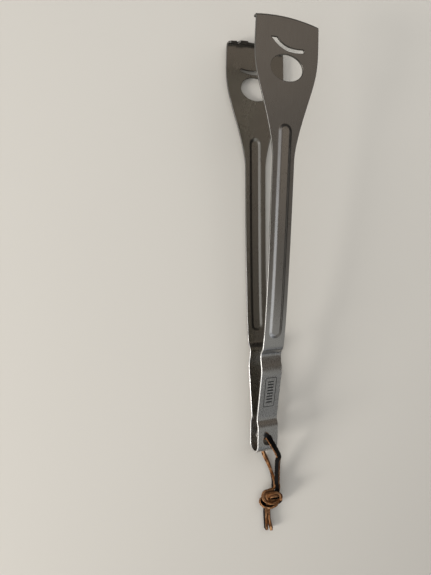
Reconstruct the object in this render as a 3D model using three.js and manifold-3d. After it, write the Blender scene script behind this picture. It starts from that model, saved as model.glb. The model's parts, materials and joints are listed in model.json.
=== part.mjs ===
// Spring loaded kitchen tongs: two stamped arms joined by a springy loop of the same steel strip,
// with a leather lace tied through the loop's hanging hole. Millimetres, +Z up, +Y towards the heads.
//
// The steel is drawn in its own plane first. There "along" runs from the loop's end to the heads,
// and "height" is the distance of the outer face from the plane that lies midway between the arms.

import * as THREE from 'three';
import { mergeVertices } from 'three/addons/utils/BufferGeometryUtils.js';
import Module from 'manifold-3d';

const sheet = 2;
const stripWidth = 24.8;
const seamGap = 0.3;

// Side view of the strip, as outer face heights.
const loopEnd = -3;
const loopHeight = 9.8;
const neckAlong = 35;
const neckHeight = 7.3;
const gripEnd = { along: 86, height: 15 };
const grooveBottom = { along: 108, height: 13 };
const knuckle = { along: 119, height: 18.1 };
const bowEnd = { along: 230, height: 26.95 };
const ribSlope = 0.043;
const headStart = { along: 370, height: 32.7 };
const tip = { along: 443.5, height: 33.9 };

// Plan view of the head.
const flareStart = 312;
const headHalfWidth = 35.4;
const headSideEnd = 414;
const tipHalfWidth = 34.6;
const tipCorner = 440.6;
const cornerRound = { x: 1.5, along: 1.2, rise: 0.3 };
const windowAlong = 396.5;
const windowHalf = { x: 18.2, y: 12.1 };

// Stiffening rib, pressed outwards: half widths at its foot and at its flat top, and how much
// narrower on each side its channel is on the inner face.
const rib = { start: 128, end: 343, height: 1.7, foot: 7.9, top: 5.2, inset: 1.6 };

// Inward lip of the tip, as depths below the outer face.
const lip = { low: 6, tooth: 8.6, shoulder: 7, notch: 4.5 };
const lipAcross = { corner: 33.5, shoulder: [32.5, 25.6], notch: 23.6, tooth: [22, 13], low: 11 };

// Hanging hole and lace.
const hangHole = { along: 12.5, radius: 5.5 };
const lace = { diameter: 4.4, gap: 0.3 };
const knot = { center: [16.2, -289.7, 7.8], half: [13.6, 11, 7.6] };

// The lace's route on the surface beside the loop: one leg leaves the upper hole, the other the
// lower hole, both end at the knot, and two loose ends come out of the knot's far side.
const upperLeg = [
  [-0.1, -208, 18.7], [-1.3, -206.6, 25], [0.9, -207.3, 30.9], [5.6, -214.5, 31.2], [9.2, -219.5, 30.2],
  [16.4, -230, 24.6], [19.3, -240.5, 17.6], [21, -248.7, 14], [23.1, -260.5, 10], [24.8, -271.2, 9],
  [22.5, -284, 8.6],
];
const lowerLeg = [
  [-0.1, -208, 17.5], [-0.6, -208, 12], [0.2, -210, 6.6], [2.6, -219.5, 4.4], [7.2, -233.5, 3.4],
  [12.6, -243.7, 2.8], [16.8, -253.4, 2.6], [20.4, -263.8, 2.7], [21.6, -272.8, 3.6], [19.5, -284, 5],
];
const leftEnd = [[11.5, -292, 5], [10.4, -303.9, 2.7], [10.4, -311.3, 2.4], [11.4, -327.8, 2.4]];
const rightEnd = [[16, -292, 5], [15.7, -304.8, 2.7], [15.8, -311.8, 2.4], [19, -329.5, 2.4]];

const wasm = await Module();
wasm.setup();

function toSolid(geometry) {
  const plain = geometry.index ? geometry.toNonIndexed() : geometry;
  plain.deleteAttribute('normal');
  plain.deleteAttribute('uv');
  const merged = mergeVertices(plain, 1e-4);
  return new wasm.Manifold(new wasm.Mesh({
    numProp: 3,
    vertProperties: new Float32Array(merged.attributes.position.array),
    triVerts: new Uint32Array(merged.index.array),
  }));
}

function toMesh(name, solid, material) {
  const { vertProperties, triVerts } = solid.getMesh();
  const geometry = new THREE.BufferGeometry();
  geometry.setAttribute('position', new THREE.BufferAttribute(vertProperties, 3));
  geometry.setIndex(new THREE.BufferAttribute(triVerts, 1));
  const mesh = new THREE.Mesh(geometry, material);
  mesh.name = name;
  return mesh;
}

// Extrudes a side view (x = along, y = height) across the width.
function acrossWidth(shape, width) {
  const options = { depth: width, bevelEnabled: false, curveSegments: 8 };
  const geometry = new THREE.ExtrudeGeometry(shape, options);
  geometry.translate(0, 0, -width / 2);
  geometry.applyMatrix4(new THREE.Matrix4().makeBasis(
    new THREE.Vector3(0, 1, 0), new THREE.Vector3(0, 0, 1), new THREE.Vector3(1, 0, 0)));
  return toSolid(geometry);
}

// Extrudes a plan view (x, along) from one height to another.
function throughHeight(shape, low, high) {
  const options = { depth: high - low, bevelEnabled: false, curveSegments: 10 };
  const geometry = new THREE.ExtrudeGeometry(shape, options);
  geometry.translate(0, 0, low);
  return toSolid(geometry);
}

// Extrudes an end view (x, height) along the strip.
function alongStrip(shape, start, end) {
  const geometry = new THREE.ExtrudeGeometry(shape, { depth: end - start, bevelEnabled: false });
  geometry.rotateX(Math.PI / 2);
  geometry.translate(0, end, 0);
  return toSolid(geometry);
}

// Moves a polyline sideways: positive distances go to its right.
function offset(points, distance) {
  return points.map((point, i) => {
    const before = points[Math.max(i - 1, 0)];
    const after = points[Math.min(i + 1, points.length - 1)];
    const tangent = after.clone().sub(before).normalize();
    return new THREE.Vector2(point.x + tangent.y * distance, point.y - tangent.x * distance);
  });
}

function band(outer, thickness) {
  return new THREE.Shape([...outer, ...offset(outer, thickness).reverse()]);
}

function stadium(start, end, radius) {
  const shape = new THREE.Shape();
  shape.absarc(0, end - radius, radius, 0, Math.PI);
  shape.absarc(0, start + radius, radius, Math.PI, 2 * Math.PI);
  return shape;
}

// Outer face of an arm in side view: grip, thumb groove, knuckle, bowed shank and head.
function armLine() {
  const line = new THREE.Path();
  line.moveTo(neckAlong + seamGap / 2, neckHeight);
  line.quadraticCurveTo(37.5, neckHeight, 40, neckHeight + 0.5);
  line.lineTo(gripEnd.along, gripEnd.height);
  line.quadraticCurveTo(92, 16.1, 97, 15.2);
  line.quadraticCurveTo(103, 13.2, grooveBottom.along, grooveBottom.height);
  line.quadraticCurveTo(110, grooveBottom.height, 111.5, 14);
  line.lineTo(115, 16.6);
  line.quadraticCurveTo(116.8, 17.8, knuckle.along, knuckle.height);
  line.bezierCurveTo(145, 22.3, 190, 25.2, bowEnd.along, bowEnd.height);
  line.lineTo(rib.end, bowEnd.height + ribSlope * (rib.end - bowEnd.along));
  line.quadraticCurveTo(357, 32.4, headStart.along, headStart.height);
  line.lineTo(tip.along + 1, tip.height);
  return line.getPoints(6);
}

// Outer face of the loop in side view, from the lower neck round the end to the upper neck.
function loopLine() {
  const line = new THREE.Path();
  const seam = neckAlong - seamGap / 2;
  line.moveTo(seam, -neckHeight);
  line.bezierCurveTo(33, -neckHeight, 31.5, -loopHeight, 27, -loopHeight);
  line.lineTo(loopEnd + loopHeight, -loopHeight);
  line.absarc(loopEnd + loopHeight, 0, loopHeight, 1.5 * Math.PI, Math.PI / 2, true);
  line.lineTo(27, loopHeight);
  line.bezierCurveTo(31.5, loopHeight, 33, neckHeight, seam, neckHeight);
  return line.getPoints(12);
}

// Olive leaf slot above the round window.
function leafSlot() {
  const leaf = new THREE.Path();
  leaf.moveTo(-18.4, 422.3);
  leaf.lineTo(-11.8, 422.8);
  leaf.quadraticCurveTo(-4.5, 415.2, 8, 415.2);
  leaf.quadraticCurveTo(13, 415.2, 17.5, 415.9);
  leaf.quadraticCurveTo(20.4, 414.6, 18, 412.9);
  leaf.quadraticCurveTo(12, 411.5, 6, 411.6);
  leaf.quadraticCurveTo(-6.5, 410.8, -18.4, 422.3);
  return leaf;
}

// Plan of an arm from the neck to the tip, with its oval window and its slot.
function armPlan() {
  const half = stripWidth / 2;
  const arcEnd = tipCorner + cornerRound.rise;
  const plan = new THREE.Shape();
  plan.moveTo(-half, neckAlong);
  plan.lineTo(half, neckAlong);
  plan.lineTo(half, flareStart);
  plan.bezierCurveTo(13.2, 328, 19.8, 349, 25.7, 367);
  plan.bezierCurveTo(31.3, 384, headHalfWidth, 394, headHalfWidth, headSideEnd);
  plan.lineTo(tipHalfWidth, tipCorner - cornerRound.along);
  plan.quadraticCurveTo(tipHalfWidth, tipCorner, tipHalfWidth - cornerRound.x, arcEnd);
  plan.quadraticCurveTo(0, 2 * tip.along - arcEnd, cornerRound.x - tipHalfWidth, arcEnd);
  plan.quadraticCurveTo(-tipHalfWidth, tipCorner, -tipHalfWidth, tipCorner - cornerRound.along);
  plan.lineTo(-headHalfWidth, headSideEnd);
  plan.bezierCurveTo(-headHalfWidth, 394, -31.3, 384, -25.7, 367);
  plan.bezierCurveTo(-19.8, 349, -13.2, 328, -half, flareStart);
  const oval = new THREE.Path();
  oval.absellipse(0, windowAlong, windowHalf.x, windowHalf.y, 0, 2 * Math.PI);
  plan.holes.push(oval, leafSlot());
  return plan;
}

// Sweeps a flat topped ridge along a stretch of the arm's side line.
function ridge(line, foot, top, low, high) {
  const section = new THREE.Shape();
  section.moveTo(-foot, low);
  section.lineTo(foot, low);
  section.lineTo(foot, 0);
  section.quadraticCurveTo((foot + top) / 2 + 0.6, high, top, high);
  section.lineTo(-top, high);
  section.quadraticCurveTo(-(foot + top) / 2 - 0.6, high, -foot, 0);
  const stretch = line.filter(({ x }) => x > rib.start - 20 && x < rib.end + 20);
  const extrudePath = new THREE.CurvePath();
  for (let i = 1; i < stretch.length; i += 1) {
    const [from, to] = [stretch[i - 1], stretch[i]].map(({ x, y }) => new THREE.Vector3(0, x, y));
    extrudePath.add(new THREE.LineCurve3(from, to));
  }
  const options = { steps: 24, curveSegments: 4, extrudePath };
  return toSolid(new THREE.ExtrudeGeometry(section, options));
}

// Edge of the lip in end view, from the left corner to the right one: two wide teeth and two
// shoulders, parted by notches. The space beyond the edge is what gets cut away.
function lipCutter() {
  const face = tip.height;
  const half = [
    [headHalfWidth + 1, lip.low], [lipAcross.corner, lip.low],
    ...lipAcross.shoulder.map((x) => [x, lip.shoulder]), [lipAcross.notch, lip.notch],
    ...lipAcross.tooth.map((x) => [x, lip.tooth]), [lipAcross.low, lip.low],
  ];
  const left = half.map(([x, depth]) => new THREE.Vector2(-x, face - depth));
  const right = half.map(([x, depth]) => new THREE.Vector2(x, face - depth)).reverse();
  const below = face - 20;
  const corners = [
    new THREE.Vector2(headHalfWidth + 1, below), new THREE.Vector2(-headHalfWidth - 1, below),
  ];
  return alongStrip(new THREE.Shape([...left, ...right, ...corners]), tip.along - 12, tip.along + 5);
}

function lipBlock() {
  const inner = new THREE.Shape();
  const side = headHalfWidth + 1;
  inner.moveTo(-side, tipCorner - sheet);
  inner.quadraticCurveTo(0, 2 * tip.along - tipCorner - sheet, side, tipCorner - sheet);
  inner.lineTo(side, tip.along + 5);
  inner.lineTo(-side, tip.along + 5);
  return throughHeight(inner, tip.height - 10, tip.height - 1);
}

// One arm, drawn as the upper one; the lower arm is the same stamping turned half a turn.
function armSolid() {
  const line = armLine();
  const plan = throughHeight(armPlan(), 0, tip.height + sheet);
  const plate = acrossWidth(band(line, sheet), 2 * headHalfWidth + 4).intersect(plan);
  const top = tip.height + 10;
  const outerRib = ridge(line, rib.foot, rib.top, -sheet / 2, rib.height)
    .intersect(throughHeight(stadium(rib.start, rib.end, rib.foot), 0, top));
  const inset = rib.inset;
  const channelEnds = stadium(rib.start + inset, rib.end - inset, rib.foot - inset);
  const channel = ridge(offset(line, sheet), rib.foot - inset, rib.top - inset / 2, -sheet, rib.height)
    .intersect(throughHeight(channelEnds, 0, top));
  const tipLip = lipBlock().intersect(plan).subtract(lipCutter());
  return plate.add(outerRib).subtract(channel).add(tipLip);
}

function loopSolid() {
  const hole = new THREE.Shape().absarc(0, hangHole.along, hangHole.radius, 0, 2 * Math.PI);
  return acrossWidth(band(loopLine(), sheet), stripWidth)
    .subtract(throughHeight(hole, -2 * loopHeight, 2 * loopHeight));
}

function laceKnot(margin) {
  const ball = new THREE.SphereGeometry(1, 20, 12);
  ball.scale(...knot.half.map((size) => size + margin));
  ball.translate(...knot.center);
  return toSolid(ball);
}

// A length of lace that stops just short of the knot.
function laceTube(points) {
  const sides = 8;
  const section = new THREE.Shape();
  section.absarc(0, 0, lace.diameter / 2, 0, 2 * Math.PI);
  const outline = new THREE.Shape(section.getSpacedPoints(sides).slice(1));
  const extrudePath = new THREE.CatmullRomCurve3(points.map((point) => new THREE.Vector3(...point)));
  const steps = Math.round(extrudePath.getLength() / (1.5 * lace.diameter));
  const tube = toSolid(new THREE.ExtrudeGeometry(outline, { steps, extrudePath }));
  return tube.subtract(laceKnot(lace.gap));
}

const steel = new THREE.MeshStandardMaterial({ color: 0x8f8c87, metalness: 1, roughness: 0.35 });
const leather = new THREE.MeshStandardMaterial({ color: 0x4a2b16, metalness: 0, roughness: 0.75 });

const tongs = new THREE.Group();

// At rest the lower arm's straight rib lies flat on the surface.
const restTilt = Math.atan(ribSlope);
const ribDrop = bowEnd.height + rib.height - ribSlope * bowEnd.along;
const middle = ((loopEnd + tip.along) * Math.cos(restTilt) + tip.height * Math.sin(restTilt)) / 2;
const steelwork = new THREE.Group();
steelwork.rotation.x = restTilt;
steelwork.position.set(0, -middle, ribDrop * Math.cos(restTilt));

const arm = armSolid();
const frontArm = toMesh('front_arm', arm, steel);
const rearArm = toMesh('rear_arm', arm, steel);
rearArm.rotation.y = Math.PI;
steelwork.add(frontArm, rearArm, toMesh('spring_loop', loopSolid(), steel));
tongs.add(steelwork);

tongs.add(
  toMesh('lace_upper_leg', laceTube(upperLeg), leather),
  toMesh('lace_lower_leg', laceTube(lowerLeg), leather),
  toMesh('lace_knot', laceKnot(0), leather),
  toMesh('lace_left_end', laceTube(leftEnd), leather),
  toMesh('lace_right_end', laceTube(rightEnd), leather),
);

export default tongs;
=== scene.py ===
import json
import math

import bmesh
import bpy
import numpy as np
from mathutils import Matrix, Vector, geometry


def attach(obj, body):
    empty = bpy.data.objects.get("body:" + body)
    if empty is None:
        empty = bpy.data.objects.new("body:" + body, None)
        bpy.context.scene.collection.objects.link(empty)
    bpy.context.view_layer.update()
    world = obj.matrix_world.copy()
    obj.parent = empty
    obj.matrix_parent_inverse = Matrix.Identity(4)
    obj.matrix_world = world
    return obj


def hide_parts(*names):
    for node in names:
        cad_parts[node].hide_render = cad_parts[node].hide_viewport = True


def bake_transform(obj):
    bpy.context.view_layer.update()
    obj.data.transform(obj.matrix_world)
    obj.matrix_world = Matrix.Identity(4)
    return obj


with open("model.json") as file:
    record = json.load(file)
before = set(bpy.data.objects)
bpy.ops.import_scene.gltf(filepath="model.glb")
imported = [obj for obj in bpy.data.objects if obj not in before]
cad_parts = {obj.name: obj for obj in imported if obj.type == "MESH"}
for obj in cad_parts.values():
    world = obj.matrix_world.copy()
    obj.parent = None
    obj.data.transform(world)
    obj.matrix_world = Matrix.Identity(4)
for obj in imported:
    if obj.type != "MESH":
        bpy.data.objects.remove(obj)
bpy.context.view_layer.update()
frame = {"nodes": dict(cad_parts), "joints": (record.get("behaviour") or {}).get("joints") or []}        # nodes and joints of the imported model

mm = 0.001
print("frame loaded:", sorted(frame["nodes"]))


class Wire:
    # One output socket of a node tree. Plain arithmetic on it adds Math nodes.
    def __init__(self, tree, socket=None):
        self.tree = tree
        self.socket = socket

    def node(self, kind, settings=None, sockets=None, pick=0):
        made = self.tree.nodes.new("ShaderNode" + kind)
        for name, value in (settings or {}).items():
            setattr(made, name, value)
        for name, value in (sockets or {}).items():
            target = made.inputs[name]
            if isinstance(value, Wire):
                self.tree.links.new(value.socket, target)
            else:
                target.default_value = value
        return Wire(self.tree, made.outputs[pick]) if len(made.outputs) else made

    def other(self, name):
        return Wire(self.tree, self.socket.node.outputs[name])

    def maths(self, operation, *values):
        return self.node("Math", {"operation": operation}, dict(enumerate(values)))

    def __add__(self, value):
        return self.maths("ADD", self, value)

    def __radd__(self, value):
        return self.maths("ADD", value, self)

    def __sub__(self, value):
        return self.maths("SUBTRACT", self, value)

    def __rsub__(self, value):
        return self.maths("SUBTRACT", value, self)

    def __mul__(self, value):
        return self.maths("MULTIPLY", self, value)

    def __rmul__(self, value):
        return self.maths("MULTIPLY", value, self)

    def __truediv__(self, value):
        return self.maths("DIVIDE", self, value)

    def __rtruediv__(self, value):
        return self.maths("DIVIDE", value, self)

    def __pow__(self, value):
        return self.maths("POWER", self, value)

    def __rpow__(self, value):
        return self.maths("POWER", value, self)

    def __abs__(self):
        return self.maths("ABSOLUTE", self)

    def atLeast(self, value):
        return self.maths("MAXIMUM", self, value)

    def fade(self, low, high):
        # 0 below low, 1 above high, smooth between
        return self.node("MapRange", {"interpolation_type": "SMOOTHSTEP"},
                         {"Value": self, "From Min": low, "From Max": high})

    def blend(self, first, second):
        # this value mixes two colours
        return self.node("Mix", {"data_type": "RGBA", "blend_type": "MIX"},
                         {0: self, 6: first, 7: second}, pick=2)

    def stretch(self, scale):
        return self.node("VectorMath", {"operation": "MULTIPLY"}, {0: self, 1: scale})

    def noise(self, scale, detail=3.0, roughness=0.5):
        return self.node("TexNoise", {"noise_dimensions": "3D", "noise_type": "FBM"},
                         {"Vector": self.stretch(scale), "Scale": 1.0,
                          "Detail": detail, "Roughness": roughness})


def newMaterial(name, paint):
    # paint(start) returns the settings and links of the material's Principled shader
    made = bpy.data.materials.new(name)
    made.use_nodes = True
    made.node_tree.nodes.clear()
    start = Wire(made.node_tree)
    shader = start.node("BsdfPrincipled", {}, paint(start))
    start.node("OutputMaterial", {}, {"Surface": shader})
    return made


# The camera looks down on the tongs from above their left side.
view = {"place": (-0.2330, -0.0125, 0.4362), "forward": (0.3888, -0.0584, -0.9195),
        "right": (0.9208, -0.0105, 0.3900), "lens": 27.08, "sensor": 36.0}


def makeCamera():
    back = -Vector(view["forward"]).normalized()
    right = Vector(view["right"])
    right = (right - back * right.dot(back)).normalized()
    turn = Matrix((right, back.cross(right), back)).transposed()
    lens = bpy.data.cameras.new("tableCamera")
    lens.lens = view["lens"]
    lens.sensor_width = view["sensor"]
    lens.clip_start = 0.01
    camera = bpy.data.objects.new("tableCamera", lens)
    camera.matrix_world = Matrix.Translation(view["place"]) @ turn.to_4x4()
    bpy.context.scene.collection.objects.link(camera)
    bpy.context.scene.camera = camera


makeCamera()
print("camera placed")


# Curves shared by the pieces, in millimetres.
def curveThrough(steps, start, *stretches):
    # each stretch holds the further points of a line, a quadratic or a cubic
    line = [np.array(start, float)]
    for stretch in stretches:
        corners = [line[-1]] + [np.array(point, float) for point in stretch]
        for t in np.linspace(0, 1, steps + 1)[1:]:
            row = corners
            while len(row) > 1:
                row = [a + (b - a) * t for a, b in zip(row, row[1:])]
            line.append(row[0])
    return np.array(line)


def lengthsOf(line):
    return np.concatenate([[0], np.cumsum(np.linalg.norm(np.diff(line, axis=0), axis=1))])


def spread(line, step):
    # the line again with points evenly about step apart
    along = lengthsOf(line)
    at = np.linspace(0, along[-1], max(2, int(round(along[-1] / step))) + 1)
    return np.stack([np.interp(at, along, line[:, k]) for k in range(line.shape[1])], axis=1)


def smoothThrough(points, steps=12):
    # Catmull-Rom curve through the rows of points
    points = np.array(points, float)
    padded = np.vstack([2 * points[0] - points[1], points, 2 * points[-1] - points[-2]])
    line = []
    for i in range(1, len(padded) - 2):
        a, b, c, d = padded[i - 1:i + 3]
        for t in np.linspace(0, 1, steps, endpoint=False):
            line.append(0.5 * (2 * b + (c - a) * t + (2 * a - 5 * b + 4 * c - d) * t ** 2
                               + (3 * b - a - 3 * c + d) * t ** 3))
    return np.vstack(line + [padded[-2]])


def unit(rows):
    return rows / np.maximum(np.linalg.norm(rows, axis=-1, keepdims=True), 1e-12)


# The leather lace: two legs of one flat thong, tied together in an overhand knot.
lace = {"width": 5.6, "thick": 3.4, "round": 0.55, "step": 0.9, "floorGap": 0.15,
        "ringStep": 0.9, "rawMiddle": 9.0,   # grain run round the section, and mid raw side
        "exitAlong": 12.5, "upperExit": 29.1, "lowerExit": 9.5}
# Each row is a point of the route and, after it, the way that the dyed face looks.
upperRoute = [
    (-0.1, -208.0, 18.3, -1.0, 0.0, 0.1), (-1.3, -206.6, 25.0, -0.9, 0.3, 0.1),
    (-2.3, -202.5, 30.9, -0.23, 0.47, 0.85), (0.9, -207.6, 31.4, -0.25, 0.48, 0.84),
    (6.5, -216.4, 30.4, -0.26, 0.51, 0.82), (14.8, -228.3, 24.6, -0.30, 0.50, 0.81),
    (18.3, -234.1, 21.0, -0.45, 0.50, 0.74), (19.3, -240.5, 17.5, -0.76, 0.29, 0.59),
    (21.0, -248.7, 14.0, -0.74, 0.39, 0.55), (23.1, -260.5, 10.0, -0.74, 0.40, 0.54),
    (23.9, -271.2, 8.2, -0.77, 0.40, 0.50), (25.2, -278.3, 7.4, -0.77, 0.41, 0.49),
    (24.5, -284.7, 6.4, -0.48, 0.28, 0.83), (19.6, -288.7, 5.0, -0.48, 0.18, 0.86),
    (12.7, -289.7, 4.0, -0.27, 0.29, 0.92), (6.6, -290.5, 4.2, 0.22, 0.41, 0.89),
    (4.8, -293.0, 4.8, 0.38, 0.55, 0.74), (8.7, -297.4, 5.4, 0.26, 0.81, 0.53),
    (15.3, -300.2, 5.6, -0.08, 0.97, 0.21), (21.2, -299.6, 5.8, -0.50, 0.86, 0.05),
    (25.0, -296.5, 6.4, -0.23, 0.58, 0.78), (27.1, -294.8, 7.4, -0.10, 0.18, 0.98),
    (28.2, -290.8, 9.6, 0.85, -0.19, 0.50), (25.1, -285.4, 12.4, 0.93, -0.14, -0.34),
    (18.9, -282.3, 13.8, 0.47, -0.35, -0.81), (12.8, -282.3, 13.4, 0.46, -0.35, -0.81),
    (10.5, -284.9, 10.6, -0.40, -0.44, -0.80), (11.7, -292.1, 5.4, -0.99, 0.02, -0.16),
    (11.2, -298.1, 3.4, -0.98, 0.19, -0.08), (11.0, -303.9, 2.6, -0.98, 0.19, -0.08),
    (10.9, -311.3, 2.5, -0.98, 0.19, -0.08), (11.4, -319.6, 2.5, -0.98, 0.20, -0.09),
    (12.0, -327.8, 2.5, -0.98, 0.20, -0.09),
]
lowerRoute = [
    (-0.1, -208.0, 18.3, -1.0, 0.0, 0.1), (-0.6, -208.0, 12.0, -1.0, 0.0, 0.0),
    (0.2, -210.0, 7.4, -0.95, -0.2, -0.1), (2.6, -219.5, 5.4, -0.9, -0.1, -0.4),
    (7.2, -233.5, 5.6, -0.83, -0.07, -0.56), (12.6, -243.7, 3.6, -0.85, -0.06, -0.52),
    (16.8, -253.4, 3.2, -0.92, 0.01, -0.40), (20.4, -263.8, 3.2, -0.97, 0.10, -0.22),
    (21.8, -272.8, 3.8, -0.98, 0.12, -0.18), (21.0, -278.6, 4.8, -0.98, 0.13, -0.18),
    (19.1, -280.9, 6.2, -0.81, -0.10, -0.57), (13.7, -280.8, 7.4, -0.02, -0.54, -0.84),
    (8.0, -280.7, 8.4, 0.22, -0.56, -0.80), (5.5, -283.8, 9.2, 0.22, -0.57, -0.79),
    (7.9, -288.3, 9.8, 0.24, -0.66, -0.72), (14.4, -292.1, 10.0, 0.37, -0.69, -0.62),
    (21.0, -293.6, 9.6, 0.56, -0.64, -0.53), (25.8, -292.4, 8.0, 0.95, -0.28, -0.11),
    (23.7, -289.8, 7.0, -0.22, 0.48, 0.85), (18.8, -289.5, 6.4, -0.61, 0.47, 0.64),
    (15.8, -293.6, 5.0, -0.99, 0.13, 0.04), (15.3, -299.6, 3.6, -0.83, -0.10, -0.55),
    (15.3, -304.8, 2.8, -0.83, -0.10, -0.55), (15.4, -311.8, 2.5, -0.83, -0.10, -0.55),
    (16.1, -318.7, 2.5, -0.83, -0.10, -0.55), (17.5, -324.4, 2.5, -0.83, -0.10, -0.55),
    (19.0, -329.5, 2.5, -0.83, -0.10, -0.55),
]


def laceSection():
    # points round the thong: offset across, offset towards the dyed face, share of dye
    halfWide, halfThick, corner = lace["width"] / 2, lace["thick"] / 2, lace["round"]
    ring = []
    for turn, (side, top) in enumerate(((1, 1), (1, -1), (-1, -1), (-1, 1))):
        for angle in (0, 30, 60, 90):
            a = math.radians(90 - 90 * turn - angle)
            across = side * (halfWide - corner) + corner * math.cos(a)
            rise = top * (halfThick - corner) + corner * math.sin(a)
            ring.append((across, rise, 1.0 if top > 0 and math.sin(a) > 0.8 else 0.0))
        if turn in (0, 2):
            ring.append((ring[-1][0], 0.0, 0.0))
        else:
            level = ring[-1][1]
            for share in (0.5, 0.0, -0.5):
                ring.append((share * halfWide * side, level, 1.0 if level > 0 else 0.0))
    return np.array(ring)


def makeLace(name, route, leather):
    line = smoothThrough(route)
    steps = spread(line[:, :3], lace["step"])
    along = lengthsOf(line[:, :3])
    at = lengthsOf(steps)
    at = at / at[-1] * along[-1]
    faces = np.stack([np.interp(at, along, line[:, k]) for k in (3, 4, 5)], axis=1)
    tangent = unit(np.gradient(steps, axis=0))
    up = unit(faces - tangent * (faces * tangent).sum(1)[:, None])
    for _ in range(4):   # evens out the twist
        up[1:-1] = up[1:-1] * 2 + up[:-2] + up[2:]
        up = unit(up - tangent * (up * tangent).sum(1)[:, None])
    side = np.cross(tangent, up)
    section = laceSection()
    wobble = 1 + 0.035 * np.sin(at * 0.71) + 0.03 * np.sin(at * 1.93 + 1.0)
    rings = (steps[:, None] + side[:, None] * section[None, :, :1] * wobble[:, None, None]
             + up[:, None] * section[None, :, 1:2])
    # lifts the lace off the table where it would dip in, without a step
    lift = np.maximum(0, lace["floorGap"] - rings[:, :, 2].min(1))
    lift = np.convolve(np.pad(lift, 6, mode="edge"), np.ones(13) / 13, mode="valid")
    lift = np.maximum(lift, lace["floorGap"] - rings[:, :, 2].min(1))
    rings[:, :, 2] += lift[:, None]
    steps[:, 2] += lift
    rows, count = len(rings), len(section)
    quads = [(i * count + j, i * count + (j + 1) % count,
              (i + 1) * count + (j + 1) % count, (i + 1) * count + j)
             for i in range(rows - 1) for j in range(count)]
    caps = [tuple(range(count))[::-1], tuple((rows - 1) * count + j for j in range(count))]
    mesh = bpy.data.meshes.new(name)
    mesh.from_pydata((rings.reshape(-1, 3) * mm).tolist(), [], quads + caps)
    mesh.update()
    work = bmesh.new()
    work.from_mesh(mesh)
    bmesh.ops.recalc_face_normals(work, faces=work.faces)
    work.to_mesh(mesh)
    work.free()
    dyed = mesh.attributes.new("dyed", "FLOAT", "POINT")
    dyed.data.foreach_set("value", np.tile(section[:, 2], rows).astype(np.float32))
    grainRun = mesh.attributes.new("grainRun", "FLOAT_VECTOR", "POINT")
    run = np.stack([np.tile(np.arange(count) * lace["ringStep"], rows), np.repeat(at, count),
                    np.zeros(rows * count)], axis=1)
    grainRun.data.foreach_set("vector", run.astype(np.float32).ravel())
    mesh.shade_smooth()
    mesh.materials.append(leather)
    piece = bpy.data.objects.new(name, mesh)
    bpy.context.scene.collection.objects.link(piece)
    return piece, steps * mm


leatherLook = {"dye": (0.0028, 0.0026, 0.0027), "dyeWorn": (0.012, 0.010, 0.009),
               "tan": (0.165, 0.066, 0.022), "tanLight": (0.42, 0.230, 0.112),
               "tanDark": (0.030, 0.010, 0.004)}


def paintLeather(start):
    run = start.node("Attribute", {"attribute_name": "grainRun"}, pick="Vector")
    dyed = start.node("Attribute", {"attribute_name": "dyed"}, pick="Fac")
    fibres = run.noise((0.9, 0.16, 1.0), 5.0, 0.65)
    patches = run.noise((0.12, 0.11, 1.0), 2.0)
    pores = run.noise((2.6, 2.2, 1.0), 3.0, 0.6)
    creases = run.noise((0.35, 1.5, 1.0), 2.0)
    around = run.node("SeparateXYZ", {}, {0: run}, pick="X")
    seam = abs(around - lace["rawMiddle"])   # soft middle of the raw side
    fold = (1 - seam.fade(0.25, 1.1)) * patches.fade(0.3, 0.55)
    colours = {name: (*colour, 1.0) for name, colour in leatherLook.items()}
    tan = patches.fade(0.35, 0.7).blend(colours["tan"], colours["tanLight"])
    tan = (fibres.fade(0.40, 0.61) * 0.95).atLeast(fold * 0.9).blend(tan, colours["tanDark"])
    black = (pores.fade(0.55, 0.8) * 0.6).blend(colours["dye"], colours["dyeWorn"])
    cover = (dyed + (fibres - 0.5) * 0.5).fade(0.35, 0.6)
    height = fibres * 0.5 + pores * 0.3 + creases * 0.5
    return {
        "Base Color": cover.blend(tan, black),
        "Roughness": 0.78 - cover * 0.30 + (pores - 0.5) * 0.2,
        "Specular IOR Level": 0.05,
        "Normal": start.node("Bump", {}, {"Strength": 0.6, "Distance": 0.0004, "Height": height}),
    }


laceLeather = newMaterial("laceLeather", paintLeather)
upperLace, upperPath = makeLace("laceUpper", upperRoute, laceLeather)
lowerLace, lowerPath = makeLace("laceLower", lowerRoute, laceLeather)
for piece, path, nodes, height in (
        (upperLace, upperPath, ("lace_upper_leg", "lace_knot", "lace_left_end"), lace["upperExit"]),
        (lowerLace, lowerPath, ("lace_lower_leg", "lace_right_end"), lace["lowerExit"])):
    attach(piece, "loop_end")
    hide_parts(*nodes)
print("lace made:", [round(float(lengthsOf(path)[-1]), 3) for path in (upperPath, lowerPath)])


# The steel strip's own frame: along the strip, across it, and out from the middle plane.
sheet = {"thick": 2.0, "halfWide": 12.4, "neck": 35.0, "edgeRound": 0.5, "warp": 0.05, "gap": 0.45,
         "innerShift": 200, "rimStart": 400, "holeRimStart": 420}   # the pattern's own places
neck = {joint["name"]: Vector(joint["pos_m"]) for joint in frame["joints"]}
lowerNeck, upperNeck = neck["lower_neck_flex"], neck["upper_neck_flex"]
outward = (upperNeck - lowerNeck).normalized()
forward = Vector((0, outward.z, -outward.y))
stripStart = (lowerNeck + upperNeck) / 2 - forward * sheet["neck"] * mm


def toWorld(points):
    # points hold x, along and height in millimetres
    return (np.array(stripStart) + points[:, :1] * mm * np.array((1, 0, 0))
            + points[:, 1:2] * mm * np.array(forward) + points[:, 2:3] * mm * np.array(outward))


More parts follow.
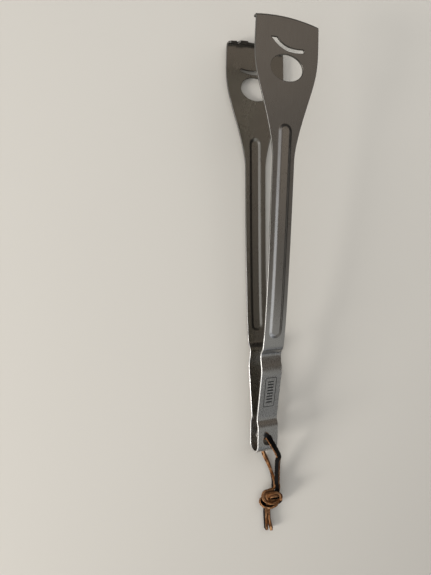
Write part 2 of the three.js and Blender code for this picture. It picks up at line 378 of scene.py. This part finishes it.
def inside(points, loops):
    # even-odd test of points against closed loops
    hit = np.zeros(len(points), bool)
    for loop in loops:
        for (ax, ay), (bx, by) in zip(loop, np.roll(loop, -1, axis=0)):
            if ay == by:
                continue
            crosses = (ay > points[:, 1]) != (by > points[:, 1])
            hit ^= crosses & (points[:, 0] < (bx - ax) * (points[:, 1] - ay) / (by - ay) + ax)
    return hit


def nearLoop(points, loops, gap):
    # which points lie within gap of a loop's own points
    near = np.zeros(len(points), bool)
    for loop in loops:
        for place in loop:
            near |= ((points - place) ** 2).sum(1) < gap * gap
    return near


def stampedSheet(name, surface, loops, grid, seam, materials):
    # A sheet of even thickness with rounded cut edges. surface(points) gives the outer face,
    # loops are the cut lines in the flat pattern, material to the left, grid its inner points,
    # and seam(points) tells which cut points butt against the next piece.
    step = 0.02   # how far apart the slopes are measured

    def frameAt(points):
        here = surface(points)
        across = surface(points + (step, 0)) - surface(points - (step, 0))
        along = surface(points + (0, step)) - surface(points - (0, step))
        return here, unit(np.cross(across, along)), unit(across), unit(along)

    edge, thick = sheet["edgeRound"], sheet["thick"]
    insets, normals = [], []
    for loop in loops:
        before, after = loop - np.roll(loop, 1, axis=0), np.roll(loop, -1, axis=0) - loop
        out = unit(unit(np.stack([before[:, 1], -before[:, 0]], 1))
                   + unit(np.stack([after[:, 1], -after[:, 0]], 1)))
        butts = seam(loop)
        out[butts, 1] = 0
        out[butts] = np.where(np.abs(out[butts, :1]) > 0.3, np.sign(out[butts]), 0)
        normals.append(out)
        insets.append(loop - out * edge)
    inner = grid[inside(grid, insets) & ~nearLoop(grid, insets, sheet["gap"])]
    flat = np.vstack(insets + [inner])
    rims, start = [], 0
    for loop in insets:
        rims.append(np.arange(start, start + len(loop)))
        start += len(loop)
    borders = [(int(a), int(b)) for rim in rims for a, b in zip(rim, np.roll(rim, -1))]
    made = geometry.delaunay_2d_cdt([Vector(p) for p in flat.tolist()], borders, [], 0, 1e-7)
    if len(made[0]) != len(flat):
        print(name, "pattern points merged:", len(flat), len(made[0]))
    flat = np.array([tuple(p) for p in made[0]], float)
    triangles = np.array(made[2], int)
    middle = flat[triangles].mean(axis=1)
    triangles = triangles[inside(middle, insets)]
    here, normal, _, _ = frameAt(flat)
    count = len(flat)
    places, shades = [here, here - normal * thick * mm], [normal, -normal]
    faceUv = [flat, flat + (sheet["innerShift"], 0)]
    rimUv = [np.zeros((count, 2)), np.zeros((count, 2))]
    faces = [tuple(t) for t in triangles.tolist()]
    faces += [tuple(t[::-1] + count) for t in triangles]
    kinds = [0] * len(faces)
    total = 2 * count
    turns = [math.radians(angle) for angle in (30, 60, 90)]
    profile = [(angle, 0) for angle in turns] + [(angle, 1) for angle in turns[::-1]]
    firsts = (sheet["rimStart"], sheet["holeRimStart"], sheet["holeRimStart"])
    for loop, out, rim, first in zip(loops, normals, rims, firsts):
        run = loop[:, 1] + 0.3 * loop[:, 0]
        rings = [rim]
        here, normal, across, along = frameAt(loop)
        sideways = unit(across * out[:, :1] + along * out[:, 1:])
        for angle, far in profile:
            inset = edge * (1 - math.sin(angle))
            depth = edge * (1 - math.cos(angle))
            depth = thick - depth if far else depth
            moved, lean, _, _ = frameAt(loop - out * inset)
            places.append(moved - lean * depth * mm)
            shades.append(unit(lean * math.cos(angle) * (-1 if far else 1)
                               + sideways * math.sin(angle)))
            faceUv.append(loop + (sheet["innerShift"] * far, 0))
            rimUv.append(np.stack([run, np.full(len(loop), first + depth)], 1))
            rings.append(np.arange(total, total + len(loop)))
            total += len(loop)
        rimUv[0][rim] = np.stack([run, np.full(len(loop), float(first))], 1)
        rimUv[1][rim] = np.stack([run, np.full(len(loop), first + thick)], 1)
        rings.append(rim + count)
        for upper, lower in zip(rings, rings[1:]):
            for a, b, c, d in zip(upper, lower, np.roll(lower, -1), np.roll(upper, -1)):
                faces.append((int(a), int(b), int(c), int(d)))
                kinds.append(1)
    places, shades = np.vstack(places), np.vstack(shades)
    faceUv, rimUv = np.vstack(faceUv), np.vstack(rimUv)
    mesh = bpy.data.meshes.new(name)
    mesh.from_pydata(places.tolist(), [], faces)
    mesh.polygons.foreach_set("material_index", kinds)
    mesh.update()
    work = bmesh.new()
    work.from_mesh(mesh)
    pairs = [face for face in work.faces if face.material_index == 0]
    bmesh.ops.join_triangles(work, faces=pairs, angle_face_threshold=0.6,
                             angle_shape_threshold=1.0)
    work.to_mesh(mesh)
    work.free()
    corners = np.zeros(len(mesh.loops), np.int32)
    mesh.loops.foreach_get("vertex_index", corners)
    sizes, slots = np.zeros(len(mesh.polygons), np.int32), np.zeros(len(mesh.polygons), np.int32)
    mesh.polygons.foreach_get("loop_total", sizes)
    mesh.polygons.foreach_get("material_index", slots)
    rimCorner = np.repeat(slots, sizes)[:, None] == 1
    pattern = mesh.uv_layers.new(name="pattern")
    uv = np.where(rimCorner, rimUv[corners], faceUv[corners])
    pattern.data.foreach_set("uv", uv.astype(np.float32).ravel())
    mesh.shade_smooth()
    mesh.normals_split_custom_set_from_vertices(shades.tolist())
    for material in materials:
        mesh.materials.append(material)
    piece = bpy.data.objects.new(name, mesh)
    bpy.context.scene.collection.objects.link(piece)
    print(name, "has", len(mesh.vertices), "points and", len(mesh.polygons), "faces")
    return piece


# Finishes of the steel, with painted shade on the faces that look into the jaw and a painted
# highlight on the rib's top. Pairs are the places where a finish starts and where it is full.
steelLook = {"light": (0.62, 0.61, 0.595), "dark": (0.47, 0.455, 0.435),
             "smudge": (0.50, 0.48, 0.455), "inner": (0.42, 0.40, 0.36),
             "deepShade": (0.27, 0.255, 0.22), "shade": (0.12, 0.115, 0.11),
             "ribHighlight": (0.96, 0.90, 0.82), "etch": (0.012, 0.012, 0.012),
             "roughness": 0.29, "gripEnd": 118.0, "crownHalf": (2.6, 4.6),
             "crownFrom": (190, 310), "crownTo": (338, 343), "deepShadeRun": (60, 330),
             "tipShade": (440.0, 442.0)}
cutLook = {"bright": (0.76, 0.75, 0.74), "sheared": (0.60, 0.59, 0.58),
           "edgeShade": (0.10, 0.095, 0.085), "holeWallShade": (0.13, 0.12, 0.105)}
mark = {"middle": (0.0, 67.6), "half": (6.5, 16.8), "corner": 1.6, "line": 0.55,
        "bars": 3.4, "barEdge": (0.23, 0.30), "barHalf": 3.5, "barReach": 12.8}


def etchedMark(across, along):
    # a plain rounded frame with plain bars in it
    x, y = abs(across - mark["middle"][0]), abs(along - mark["middle"][1])
    cornerX = (x - (mark["half"][0] - mark["corner"])).atLeast(0)
    cornerY = (y - (mark["half"][1] - mark["corner"])).atLeast(0)
    reach = (cornerX * cornerX + cornerY * cornerY) ** 0.5 - mark["corner"]
    line = 1 - abs(reach).fade(mark["line"] * 0.6, mark["line"] * 1.1)
    turn = along / mark["bars"]
    wave = abs(turn.maths("FRACT", turn) - 0.5)
    bar = (1 - wave.fade(*mark["barEdge"])) * (1 - x.fade(mark["barHalf"], mark["barHalf"] + 0.3))
    return line.atLeast(bar * (1 - y.fade(mark["barReach"], mark["barReach"] + 0.1)))


def paintSteel(withMark, shadeShare=0.85):
    def paint(start):
        uv = start.node("UVMap", {"uv_map": "pattern"})
        across = start.node("SeparateXYZ", {}, {0: uv}, pick="X")
        along = across.other("Y")
        fine = uv.noise((3.2, 0.16, 1.0), 4.0, 0.6)
        streaks = uv.noise((0.9, 0.05, 1.0), 3.0, 0.55)
        cloud = uv.noise((0.05, 0.035, 1.0), 3.0, 0.55)
        colours = {name: (*steelLook[name], 1.0) for name in
                   ("light", "dark", "smudge", "etch", "inner", "deepShade", "shade", "ribHighlight")}
        gripEnd = steelLook["gripEnd"]
        grip = 1 - along.fade(gripEnd - 14, gripEnd)   # coarser brushing
        grain = fine * 0.6 + streaks * 0.4
        flecks = (uv.noise((1.5, 0.30, 1.0), 5.0, 0.8).fade(0.36, 0.64) - 0.5) * grip
        colour = (grain.fade(0.3, 0.7) * 0.4 + 0.3 + flecks * 1.2).blend(
            colours["dark"], colours["light"])
        colour = (cloud.fade(0.5, 0.75) * 0.4).blend(colour, colours["smudge"])
        shift = sheet["innerShift"]
        back = across.fade(shift * 0.45, shift * 0.5)   # the side that looks into the jaw
        ribHighlight = 1 - abs(across).fade(*steelLook["crownHalf"])   # painted highlight along the rib's top
        ribHighlight = ribHighlight * along.fade(*steelLook["crownFrom"])
        ribHighlight = ribHighlight * (1 - along.fade(*steelLook["crownTo"]))
        colour = (ribHighlight * 0.6).blend(colour, colours["ribHighlight"])
        # painted shade on the faces that look into the jaw, darkest towards the grip where the arms
        # close in; shadeShare sets how much
        deepShade = along.fade(*steelLook["deepShadeRun"]).blend(colours["deepShade"], colours["inner"])
        colour = (back * shadeShare).blend(colour, deepShade)
        tip = along.fade(*steelLook["tipShade"])
        colour = (back * tip).blend(colour, colours["shade"])
        rough = steelLook["roughness"] + (fine - 0.5) * 0.12 + (cloud - 0.5) * 0.10 + flecks * 0.12
        metal = 1.0
        if withMark:
            etched = etchedMark(across, along)
            colour = etched.blend(colour, colours["etch"])
            rough = rough + etched * 0.3
            metal = 1 - etched * 0.95
        return {
            "Base Color": colour, "Metallic": metal, "Roughness": rough,
            "Normal": start.node("Bump", {}, {"Strength": 0.5, "Distance": 0.00003,
                                              "Height": grain * 0.5 + flecks * 2.4}),
        }
    return paint


def paintCut(start):
    # sheared and tumbled edge: bright, with short marks through the thickness; painted shade
    # darkens it past the grip and on the walls of the openings
    uv = start.node("UVMap", {"uv_map": "pattern"})
    shear = uv.noise((2.2, 0.35, 1.0), 3.0, 0.6)
    run = start.node("SeparateXYZ", {}, {0: uv}, pick="X")
    colours = {name: (*colour, 1.0) for name, colour in cutLook.items()}
    holeRim = sheet["holeRimStart"]
    # painted shade on the walls of the openings
    holeWallShade = run.other("Y").fade(holeRim - 12, holeRim - 8)
    bareEdge = shear.blend(colours["bright"], colours["sheared"])   # bright cut steel with shear marks
    past = run.fade(112, 135) * 0.62 + run.fade(180, 260) * 0.3   # painted shade: past the grip the edges are darkened so they catch no highlight
    colour = past.blend(bareEdge, colours["edgeShade"])
    colour = holeWallShade.blend(colour, colours["holeWallShade"])
    return {
        "Base Color": colour, "Metallic": 1.0, "Roughness": 0.30 + shear * 0.2,
        "Normal": start.node("Bump", {}, {"Strength": 0.4, "Distance": 0.00005, "Height": shear}),
    }


markedSteel = newMaterial("markedSteel", paintSteel(True))
brushedSteel = newMaterial("brushedSteel", paintSteel(False))
# the loop's inner faces take less of the painted shade
loopSteel = newMaterial("loopSteel", paintSteel(False, 0.45))
cutSteel = newMaterial("cutSteel", paintCut)
print("finishes made")


# The arms: grip, bowed shank with a pressed rib, flared head and toothed lip.
arm = {"tip": 443.3, "bend": 2.2, "flare": 312.0, "tipHalf": 34.6, "headHalf": 35.4,
       "cornerAlong": 440.5, "cornerHalf": 33.1, "sideEnd": 414.0,
       "warpFrom": 130, "warpTo": 430, "blendEnd": 70, "blendHeight": 6.3}
rib = {"start": 128.0, "end": 345.5, "height": 1.7, "foot": 8.1, "top": 3.8, "ease": 0.25}
lip = {"low": 6.0, "tooth": 8.6, "shoulder": 7.0, "notch": 4.5}
window = {"along": 396.5, "half": (18.2, 12.1)}
sideLine = curveThrough(
    24, (sheet["neck"], 7.3), [(37.5, 7.3), (40, 7.8)], [(86, 15)], [(92, 16.1), (97, 15.2)],
    [(103, 13.2), (108, 13)], [(110, 13), (111.5, 14)], [(115, 16.6)], [(116.8, 17.8), (119, 18.1)],
    [(145, 22.3), (190, 25.2), (230, 26.95)], [(343, 31.809)], [(357, 32.4), (370, 32.7)],
    [(450, 34.04)])


def evened(line, width):
    # heights over even steps, with corners eased over a short width
    at = np.arange(line[0, 0], line[-1, 0], 0.1)
    height = np.interp(at, line[:, 0], line[:, 1])
    reach = int(width * 30)
    bell = np.exp(-0.5 * (np.arange(-reach, reach + 1) / (width * 10)) ** 2)
    padded = np.concatenate([2 * height[0] - height[reach:0:-1], height,
                             2 * height[-1] - height[-2:-reach - 2:-1]])
    return at, np.convolve(padded, bell / bell.sum(), mode="valid")


sideAt, sideHeight = evened(sideLine, 0.7)


def bendStart(x):
    return (arm["cornerAlong"] - arm["bend"]
            + (arm["tip"] - arm["cornerAlong"]) * (1 - (x / arm["cornerHalf"]) ** 2))


def smoothStep(value):
    value = np.clip(value, 0, 1)
    return value * value * (3 - 2 * value)


def ribRise(x, along):
    middle = np.clip(along, rib["start"] + rib["foot"], rib["end"] - rib["foot"])
    far = np.hypot(x, along - middle)
    up = np.clip((rib["foot"] - far) / (rib["foot"] - rib["top"]), 0, 1)
    ease = rib["ease"]   # share of the flank that each rounded edge takes
    low, high = np.minimum(up, ease), np.maximum(up - 1 + ease, 0)
    rise = (low ** 2 / (2 * ease) + np.clip(up - ease, 0, 1 - 2 * ease)
            + high - high ** 2 / (2 * ease))
    return rib["height"] * rise / (1 - ease)


def armSurface(side):
    def surface(points):
        x, v = points[:, 0], points[:, 1]
        start = bendStart(x)
        past = np.maximum(v - start, 0)
        angle = np.minimum(past / arm["bend"], math.pi / 2)
        drop = np.maximum(past - arm["bend"] * math.pi / 2, 0)
        base = np.minimum(v, start)
        height = np.interp(base, sideAt, sideHeight) + ribRise(x, base)
        waves = np.sin(base / 19 + x / 13) + np.sin(base / 31 - x / 17) - 2   # never outwards
        height += (sheet["warp"] * waves * smoothStep((base - arm["warpFrom"]) / 60)
                   * smoothStep((arm["warpTo"] - base) / 20))
        along = base + arm["bend"] * np.sin(angle)
        height = height - arm["bend"] * (1 - np.cos(angle)) - drop
        return toWorld(np.stack([side * x, along, side * height], axis=1))
    return surface


def lipAt(x, depth):
    return bendStart(x) + arm["bend"] * math.pi / 2 + depth - arm["bend"]


def eased(points, size):
    # cuts each inner corner of an open line with a small round
    points = np.array(points, float)
    line = [points[0]]
    for before, here, after in zip(points, points[1:], points[2:]):
        first = here + unit(before - here) * min(size, np.linalg.norm(before - here) / 2.2)
        last = here + unit(after - here) * min(size, np.linalg.norm(after - here) / 2.2)
        line += list(curveThrough(4, first, [here, last]))
    return np.array(line + [points[-1]])


def dense(line, step):
    out = [line[0]]
    for a, b in zip(line, line[1:]):
        count = max(1, int(math.ceil(np.linalg.norm(b - a) / step)))
        out += [a + (b - a) * k / count for k in range(1, count + 1)]
    return np.array(out)


def withoutRepeats(loop):
    keep = np.linalg.norm(loop - np.roll(loop, 1, axis=0), axis=1) > 0.05
    return loop[keep]


def armOutline():
    side = curveThrough(
        20, (sheet["halfWide"], sheet["neck"]), [(sheet["halfWide"], arm["flare"])],
        [(13.2, 328), (19.8, 349), (25.7, 367)],
        [(31.3, 384), (arm["headHalf"], 394), (arm["headHalf"], arm["sideEnd"])],
        [(arm["tipHalf"], lipAt(arm["tipHalf"], 2.0))])
    teeth = [(arm["tipHalf"], 2.0), (arm["tipHalf"], lip["low"]), (33.5, lip["low"]),
             (32.5, lip["shoulder"]), (25.6, lip["shoulder"]), (23.6, lip["notch"]),
             (22.0, lip["tooth"]), (13.0, lip["tooth"]), (11.0, lip["low"]), (0.0, lip["low"])]
    edge = dense(eased([(x, -depth) for x, depth in teeth], 0.6), 1.2)
    edge[:, 1] = lipAt(edge[:, 0], -edge[:, 1])
    right = np.vstack([dense(side, 2.2), edge])
    left = right[::-1] * (-1, 1)
    half, neckLine = sheet["halfWide"], sheet["neck"]
    bottom = dense(np.array([(-half, neckLine), (half, neckLine)]), 1.2)
    return withoutRepeats(np.vstack([right, left, bottom]))


def windowOutline():
    turn = np.linspace(0, -2 * math.pi, 73)[:-1]
    return np.stack([window["half"][0] * np.cos(turn),
                     window["along"] + window["half"][1] * np.sin(turn)], axis=1)


def leafOutline():
    leaf = curveThrough(
        10, (-18.4, 422.3), [(-11.8, 422.8)], [(-4.5, 415.2), (8, 415.2)],
        [(13, 415.2), (17.5, 415.9)], [(20.4, 414.6), (18, 412.9)],
        [(12, 411.5), (6, 411.6)], [(-6.5, 410.8), (-18.4, 422.3)])
    return withoutRepeats(dense(leaf[:-1], 1.5))


def columns(*stretches):
    half = np.concatenate([np.arange(low, high, step) for low, high, step in stretches])
    return np.unique(np.round(np.concatenate([-half, half]), 4))


def gridOf(xs, ys):
    across, along = np.meshgrid(xs, ys)
    return np.stack([across.ravel(), along.ravel()], axis=1)


def armGrid():
    # inner points of the pattern, closer together where the sheet is bent
    flareLow = 330.0
    plain = columns((0, 12.4, 1.55))
    ribbed = columns((0, 3.4, 1.1), (3.4, 8.5, 0.42), (9.2, 12.4, 1.3))
    head = columns((0, 36, 2.0))
    ribEnd = columns((0, 8.5, 0.42), (9.2, 12.4, 1.3))
    low, high = rib["start"], rib["end"]
    blocks = [gridOf(plain, np.arange(sheet["neck"] + 0.5, 42, 0.6)),
              gridOf(plain, np.arange(42, 87, 2.0)),
              gridOf(plain, np.arange(87, 122, 0.55)),
              gridOf(plain, np.arange(122, low - 1.2, 1.5)),
              gridOf(ribEnd, np.arange(low - 0.8, low + 8, 0.42)),
              gridOf(ribbed, np.arange(low + 8.4, high - 8.2, 2.4)),
              gridOf(ribEnd, np.arange(high - 8, high + 0.8, 0.42)),
              gridOf(columns((13.7, 36, 2.0)), np.arange(flareLow, high + 0.8, 2.0)),
              gridOf(head, np.arange(high + 1.8, 434.5, 2.0))]
    across = columns((0, 34.3, 1.25))
    past = np.concatenate([(-2.2, -1.0, -0.4), np.arange(0, 4.3, 0.42), np.arange(4.8, 12, 1.1)])
    bent = gridOf(across, past)
    bent[:, 1] += bendStart(bent[:, 0])
    blocks.append(bent)
    return np.vstack(blocks)


def makeArm(name, node, side, faceSteel):
    def atNeck(points):
        return np.abs(points[:, 1] - sheet["neck"]) < 1e-6

    loops = [armOutline(), windowOutline(), leafOutline()]
    for i, loop in enumerate(loops):
        x, y = loop[:, 0], loop[:, 1]
        area = 0.5 * (x * np.roll(y, -1) - y * np.roll(x, -1)).sum()
        if (area > 0) != (i == 0):   # the outline runs anticlockwise, openings clockwise
            loops[i] = loop[::-1]
    piece = stampedSheet(name, armSurface(side), loops, armGrid(), atNeck,
                         (faceSteel, cutSteel))
    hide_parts(node)
    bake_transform(piece)
    return piece


upperArm = makeArm("upperArm", "front_arm", 1, markedSteel)
lowerArm = makeArm("lowerArm", "rear_arm", -1, brushedSteel)
print("arms stamped")


# The spring loop: a rounded bulb at the handle end, with a hole through both walls.
loopShape = {"end": -3.3, "height": 9.8, "hole": 5.5, "holeAlong": 12.5, "step": 0.8}


def loopLine():
    top = loopShape["height"]
    turn = np.linspace(-math.pi / 2, -1.5 * math.pi, 61)[1:]
    bow = np.stack([loopShape["end"] + top + top * np.cos(turn), top * np.sin(turn)], axis=1)
    low = curveThrough(20, (sheet["neck"], -7.3), [(33, -7.3), (31.5, -top), (27, -top)],
                       [(loopShape["end"] + top, -top)])
    return np.vstack([low, bow, low[::-1][1:] * (1, -1)])


sideOfLoop = spread(loopLine(), 0.1)
bell = np.exp(-0.5 * (np.arange(-15, 16) / 5.0) ** 2)
softened = [np.convolve(sideOfLoop[:, k], bell / bell.sum(), mode="same") for k in (0, 1)]
sideOfLoop[20:-20] = np.stack(softened, axis=1)[20:-20]
loopRun = lengthsOf(sideOfLoop)


def loopSurface(points):
    # the pattern runs from the lower neck round to the upper one
    past = np.clip(points[:, 1], 0, loopRun[-1])
    over = points[:, 1] - past
    away = np.where(points[:, 1] > loopRun[-1], over, -over)
    along = np.interp(past, loopRun, sideOfLoop[:, 0]) + away
    height = np.interp(past, loopRun, sideOfLoop[:, 1])
    return toWorld(np.stack([points[:, 0], along, height], axis=1))


def makeLoop():
    half, end = sheet["halfWide"], loopRun[-1]
    corners = [(-half, 0), (half, 0), (half, end), (-half, end), (-half, 0)]
    box = dense(np.array(corners, float), 1.2)
    loops = [withoutRepeats(box)]
    turn = np.linspace(0, -2 * math.pi, 49)[:-1]
    split = len(sideOfLoop) // 2
    for part, first in ((sideOfLoop[:split], 0), (sideOfLoop[split:], split)):
        at = loopRun[first + np.abs(part[:, 0] - loopShape["holeAlong"]).argmin()]
        loops.append(np.stack([loopShape["hole"] * np.cos(turn),
                               at + loopShape["hole"] * np.sin(turn)], axis=1))

    def atNecks(points):
        return (points[:, 1] < 1e-6) | (points[:, 1] > end - 1e-6)

    grid = gridOf(columns((0, half, 1.55)), np.arange(loopShape["step"], end, loopShape["step"]))
    piece = stampedSheet("springLoop", loopSurface, loops, grid, atNecks,
                         (loopSteel, cutSteel))
    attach(piece, "loop_end")
    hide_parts("spring_loop")
    return piece


springLoop = makeLoop()
print("spring loop made")


# Floor, lamps and the room around. Lamps and patches of the room are set by direction.
stage = {"size": 9.0, "colour": (0.655, 0.625, 0.570),
         "keyFrom": (-0.93, -0.27, 0.28), "keyFar": 1.7, "keySize": 0.42, "keyPower": 29.0,
         "keyColour": (1.0, 0.975, 0.94),
         "fillFrom": (0.45, 0.85, 1.0), "fillFar": 1.3, "fillSize": 1.6, "fillPower": 8.4,
         "fillColour": (0.98, 0.99, 1.0)}
room = {"walls": (0.142, 0.126, 0.109), "northHigh": (0.240, 0.206, 0.172),
        "southHaze": (0.42, 0.422, 0.405), "southWall": (0.22, 0.222, 0.220),
        "southDoor": (0.05, 0.05, 0.05), "southPane": (0.85, 0.90, 0.97),
        "northWall": (0.030, 0.027, 0.025), "eastWall": (0.018, 0.017, 0.016),
        "westWindow": (1.65, 1.72, 1.83), "westSill": (1.5, 1.47, 1.41)}


def paintFloor(start):
    place = start.node("TexCoord", {}, pick="Object")
    cloud = place.noise((2.2, 2.2, 1.0), 3.0)
    low, high = [(*[c * k for c in stage["colour"]], 1.0) for k in (0.985, 1.015)]
    return {"Base Color": cloud.blend(low, high), "Roughness": 0.85, "Specular IOR Level": 0.08}


def makeFloor():
    half = stage["size"] / 2
    mesh = bpy.data.meshes.new("tabletop")
    mesh.from_pydata([(-half, -half, 0), (half, -half, 0), (half, half, 0), (-half, half, 0)],
                     [], [(0, 1, 2, 3)])
    mesh.materials.append(newMaterial("paleTop", paintFloor))
    floor = bpy.data.objects.new("tabletop", mesh)
    bpy.context.scene.collection.objects.link(floor)


def makeLamp(name, away, far, size, power, colour):
    light = bpy.data.lights.new(name, "AREA")
    light.shape = "RECTANGLE"
    light.size = light.size_y = size
    light.energy = power
    light.color = colour
    lamp = bpy.data.objects.new(name, light)
    away = Vector(away).normalized()
    lamp.location = away * far
    lamp.rotation_mode = "QUATERNION"
    lamp.rotation_quaternion = away.to_track_quat("Z", "Y")
    bpy.context.scene.collection.objects.link(lamp)
    return lamp


def makeSurroundings():
    world = bpy.data.worlds.new("paleRoom")
    bpy.context.scene.world = world
    world.use_nodes = True
    world.node_tree.nodes.clear()
    start = Wire(world.node_tree)
    way = start.node("TexCoord", {}, pick="Generated")
    east = start.node("SeparateXYZ", {}, {0: way}, pick="X")
    north, up = east.other("Y"), east.other("Z")
    south, west = 0 - north, 0 - east
    colour = start.node("RGB", {})
    colour.socket.default_value = (*room["walls"], 1.0)
    # each patch: how much of it a direction sees, and its name in room; later ones cover
    # earlier ones
    patches = (
        (north.fade(0.10, 0.36) * up.fade(0.45, 0.72), "northHigh"),
        (south.fade(0.22, 0.40), "southHaze"),
        (south.fade(0.50, 0.62), "southWall"),
        (south.fade(0.64, 0.72), "southDoor"),
        (south.fade(0.72, 0.78) * up.fade(0.38, 0.44), "southPane"),
        (north.fade(0.42, 0.66), "northWall"),
        (east.fade(0.50, 0.82), "eastWall"),
        (west.fade(0.30, 0.62) * (0.35 + south.fade(-0.15, 0.30) * 0.65), "westWindow"),
        (west.fade(0.60, 0.86) * (1 - up.fade(0.5, 0.68)), "westSill"),
    )
    for share, name in patches:
        colour = share.blend(colour, (*room[name], 1.0))
    back = start.node("Background", {}, {"Color": colour, "Strength": 1.0})
    start.node("OutputWorld", {}, {"Surface": back})


makeFloor()
makeLamp("lowWindow", stage["keyFrom"], stage["keyFar"], stage["keySize"], stage["keyPower"],
         stage["keyColour"])
overhead = makeLamp("softFill", stage["fillFrom"], stage["fillFar"], stage["fillSize"],
                    stage["fillPower"], stage["fillColour"])
overhead.visible_glossy = False   # lights the table top without a patch in the steel
makeSurroundings()
bpy.context.scene.view_settings.view_transform = "Standard"
print("floor and light set")
